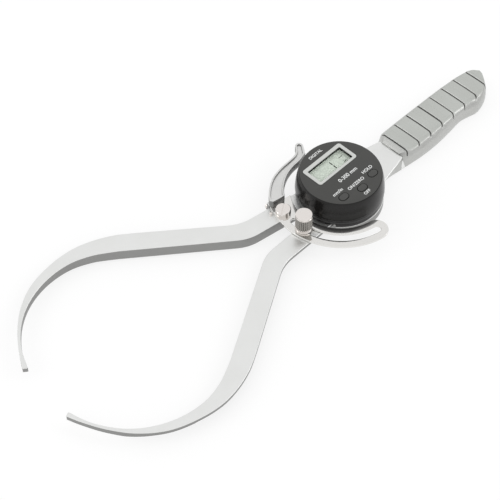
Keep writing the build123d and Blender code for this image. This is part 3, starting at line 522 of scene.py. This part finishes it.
label("unit_word", "mm/in", 13.6, 9.9, 3.3, 27.51, "ink")
label("zero_word", "ON/ZERO", 0.2, 13.2, 3.2, 27.51, "ink")
label("hold_word", "HOLD", -13.2, 10.4, 3.2, 27.51, "ink")
label("off_word", "OFF", 0.4, 22.9, 3.0, 27.51, "ink")
label("range_word", "0-300 mm", -1.5, 4.6, 3.9, 27.51, "ink")
label("kind_word", "DIGITAL", 0.4, -21.4, 3.0, 27.51, "ink")
label("lcd_unit", "in", -10.9, -5.6, 4.2, 24.92, "segment")

# ------------------------------------------------------------------ knob
rings = []
R = 5.4
KNOB_FLUTES = 26


def knob_ring(r, z, flute=0.0, n=320):
    pts = []
    for i in range(n):
        a = 2 * math.pi * i / n
        q = r - flute * (0.5 + 0.5 * math.cos(KNOB_FLUTES * a)) ** 1.5
        pts.append((LOCK[0] + q * math.cos(a), LOCK[1] + q * math.sin(a), z))
    return pts


KNOB_PROFILE = [(3.7, 11.4, 0), (R - 0.25, 11.4, 0), (R, 11.6, 0), (R, 12.15, 0), (R - 0.35, 12.3, 0),
                (R - 0.35, 12.5, 0), (R, 12.75, 0.05), (R, 12.95, 0.5), (R, 21.7, 0.5), (R - 0.05, 22.2, 0.1),
                (R - 0.45, 22.4, 0), (R - 0.45, 22.75, 0), (R - 0.1, 22.95, 0), (R, 23.1, 0),
                (R - 0.03, 23.6, 0), (R - 0.25, 23.87, 0), (R - 0.6, 23.97, 0), (1.0, 24.0, 0)]
for r, z, f in KNOB_PROFILE:
    rings.append(knob_ring(r, z, f))
kv, kf = loft(rings)
# the fluted side between collar and top takes the darker knurl colour: painted shade
build("lock_knob_turned", kv, kf, ["screw", "knurl"], "lock_knob",
      lambda p: 1 if 12.3 * MM < p.center.z < 22.5 * MM and abs(p.normal.z) < 0.7 else 0, ["lock_knob"],
      angle=30)
wv, wf = revolve([(2.36, 10.66), (5.2, 10.66), (5.5, 10.8), (5.5, 11.1), (5.3, 11.3), (4.6, 11.35),
                  (2.36, 11.35), (2.36, 10.66)], LOCK, 96)
build("lock_collar", wv, wf, ["screw"], "lock_washer", None, ["clamp_washer"])

# ------------------------------------------------------------------ grip
BACK = spline([(-49.9, -13.0), (-60.0, -13.2), (-90.0, -12.9), (-122.0, -11.7), (-134.5, -10.0), (-139.8, -7.6),
               (-143.0, -2.6)], 14)
BELLY = spline([(-49.9, 13.0), (-54.0, 13.6), (-66.0, 14.8), (-80.0, 15.0), (-94.0, 14.0), (-106.5, 12.9),
                (-113.5, 14.2), (-119.5, 15.6), (-126.5, 14.6), (-132.0, 12.4), (-138.0, 7.6), (-142.4, 0.8),
                (-143.0, -2.4)], 14)
PITCH, FIRST = 11.65, -54.0


def side_at(curve, x):
    c = np.array(curve)
    return float(np.interp(-x, -c[:, 0], c[:, 1]))


def grip_height(x, y, yb, yf):
    """Height of the grip's top: crowned across, a ramp at the front, and a pad between each two grooves."""
    mid, half = (yb + yf) / 2, max((yf - yb) / 2, 0.01)
    nrm = (y - mid) / half
    shoulder = 0.70 + 0.06 * min(1.0, max(0.0, (-x - 50) / 6))
    fall = max(0.0, abs(nrm) - shoulder) / (1 - shoulder)
    crown = 12.35 - 0.4 * nrm ** 2 - 3.1 * fall ** 1.8
    ramp = min(1.0, max(0.0, (-x - 49.0) / 4.6))
    low = 8.85 - 3.6 * fall ** 1.5
    crown = low + (crown - low) * ramp ** 0.85
    k = (FIRST - x) / PITCH
    f = k - math.floor(k)
    hook = max(0.0, (y - 8.6) / 4.0)
    g = 0.0
    if -137.5 < x < FIRST + 1.5 and -11.8 < y:
        shift = hook ** 2 * 0.20
        ff = f + shift if f < 0.5 else f - 1 + shift
        edge = 1.0 if y < 12.4 else max(0.0, 1 - (y - 12.4) / 1.4)
        back = min(1.0, (y + 11.8) / 1.2)
        g = -0.9 * math.exp(-(ff / 0.040) ** 2) * edge * back
        if ff > 0:
            g += 0.40 * math.exp(-(ff / 0.35)) * edge * back
    lobe = 0.0
    if y > 9.0 and x < FIRST:
        lobe = 0.75 * math.sin(math.pi * f) * max(0.0, 1 - abs(y - 12.4) / 2.8)
    return crown + g + lobe


xs = np.r_[np.linspace(-49.9, -54, 14)[:-1], np.arange(-54, -141.5, -0.26), np.linspace(-141.5, -142.9, 8)]
cols = 84
rings = []
for x in xs:
    yb, yf = side_at(BACK, x), side_at(BELLY, x)
    step = 3.0 * (1 - min(1.0, max(0.0, (-x - 50.0) / 6.0))) ** 1.5
    tb, tf = yb + step, yf - step
    row = [(x, y, max(5.0, grip_height(x, y, tb, tf))) for y in np.linspace(tb, tf, cols)]
    zl, zr = row[0][2], row[-1][2]
    under = []
    for t in np.linspace(0, 1, 12)[1:]:
        swell = 0.45 * math.sin(math.pi * t) * min(1, (-x - 49.9) / 5)
        under.append((x, tf + step * t + swell, zr + (1.4 - zr) * t))
    for t, dz in ((0.4, 0.75), (1.1, 0.35), (2.4, 0.12)):
        under.append((x, max(yf - t, (yb + yf) / 2 + 0.02), dz))
    for t, dz in ((2.4, 0.12), (1.1, 0.35), (0.4, 0.75)):
        under.append((x, min(yb + t, (yb + yf) / 2 - 0.02), dz))
    for t in np.linspace(1, 0, 12)[:-1]:
        swell = 0.3 * math.sin(math.pi * t) * min(1, (-x - 49.9) / 5)
        under.append((x, tb - step * t - swell, zl + (1.4 - zl) * t))
    rings.append(row + under)
gv, gf = loft(rings)
grip = build("grip_casting", gv, gf, ["grip", "groove", "pad"], "frame", None, ["grip_upper", "grip_lower"],
             angle=50, flat=False)
mesh = grip.data
for p in mesh.polygons:
    cx, cy, cz = p.center / MM
    k = (FIRST - cx) / PITCH
    f = k - math.floor(k)
    hook = max(0.0, (cy - 8.6) / 4.0) ** 2 * 0.20
    d = (f + hook if f < 0.5 else f - 1 + hook)
    # faces along each groove line take the near-black groove colour: painted shade
    if p.normal.z > 0.2 and -137.5 < cx < FIRST + 1.5 and abs(d) < 0.026 and -11.2 < cy < 12.8 and cz > 9.0:
        p.material_index = 1
    # upward-facing faces on the grip's top take the lighter pad colour: painted light
    elif p.normal.z > 0.86 and cx < -50 and -10.8 < cy < 12.4 and cz > 9.0:
        p.material_index = 2

# ------------------------------------------------------------------ CAD nodes kept as they are
KEPT = {"hub_skirt": "shell", "battery_door": "shell", "base_plate": "shell", "band_screw": "screw",
        "band_dowel": "screw", "lever_screws": "screw", "lock_stud": "steel", "knob_insert": "bronze",
        "grip_screws": "steel", "pivot_post": "steel", "pivot_bush": "bronze", "thrust_washer": "steel",
        "spring_washer": "steel", "back_cap": "cap", "pivot_nut": "steel", "lcd_lens": "glass",
        "zebra_strips": "rubber", "circuit_board": "board", "key_membrane": "rubber",
        "encoder_rotor": "board", "encoder_stator": "board", "carrier": "alloy", "readout_screws": "steel",
        "battery": "steel", "battery_clip": "steel"}
for node, key in KEPT.items():
    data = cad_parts[node].data
    for i in range(len(data.materials)):
        data.materials[i] = M[key]

# ------------------------------------------------------------------ floor, light, camera
bpy.ops.mesh.primitive_plane_add(size=8, location=(0, 0, -0.0005))
floor = bpy.context.object
floor.name = "studio_floor"
fm = bpy.data.materials.new("floor_pale")
fm.use_nodes = True
fb = fm.node_tree.nodes["Principled BSDF"]
fb.inputs["Base Color"].default_value = (0.25, 0.25, 0.25, 1)
fb.inputs["Roughness"].default_value = 0.9
fb.inputs["Specular IOR Level"].default_value = 0.1
fb.inputs["Emission Color"].default_value = (1, 1, 1, 1)
fb.inputs["Emission Strength"].default_value = 0.76
floor.data.materials.append(fm)

world = bpy.context.scene.world or bpy.data.worlds.new("studio")
bpy.context.scene.world = world
world.use_nodes = True
bg = world.node_tree.nodes["Background"]
wn, wl = world.node_tree.nodes, world.node_tree.links.new
sky = wn.new("ShaderNodeTexCoord")
axes = wn.new("ShaderNodeSeparateXYZ")
wl(sky.outputs["Generated"], axes.inputs["Vector"])
band = wn.new("ShaderNodeMapRange")
band.inputs["From Min"].default_value = 0.10
band.inputs["From Max"].default_value = 0.45
band.inputs["To Min"].default_value = 0.78
band.inputs["To Max"].default_value = 1.0
wl(axes.outputs["Z"], band.inputs["Value"])
wl(band.outputs["Result"], bg.inputs["Color"])
bg.inputs["Strength"].default_value = 0.92


def area(name, loc, target, size, power):
    li = bpy.data.lights.new(name, "AREA")
    li.size = size
    li.energy = power
    o = bpy.data.objects.new(name, li)
    o.location = loc
    o.rotation_mode = "QUATERNION"
    o.rotation_quaternion = (Vector(target) - Vector(loc)).to_track_quat("-Z", "Y")
    bpy.context.collection.objects.link(o)


area("key", (-1.1, 1.0, 1.1), (0.05, 0, 0), 0.7, 3.0)
area("fill", (1.2, -0.9, 1.0), (0.05, 0, 0), 0.7, 2.0)

cam = bpy.data.cameras.new("camera")
cam.sensor_width = 36.0
cam.lens = 1580.77 / 500 * cam.sensor_width
cam.clip_start, cam.clip_end = 0.01, 100
co = bpy.data.objects.new("camera", cam)
bpy.context.collection.objects.link(co)
forward = Vector((-0.4377, -0.4283, -0.7906)).normalized()
right = Vector((-0.6994, 0.7147, 0.0)).normalized()
up = right.cross(forward).normalized()
rot = Matrix((right, up, -forward)).transposed()
co.matrix_world = Matrix.Translation((0.5042, 0.4133, 0.7856)) @ rot.to_4x4()
bpy.context.scene.camera = co
bpy.context.scene.view_settings.view_transform = "Standard"
bpy.context.scene.view_settings.look = "None"
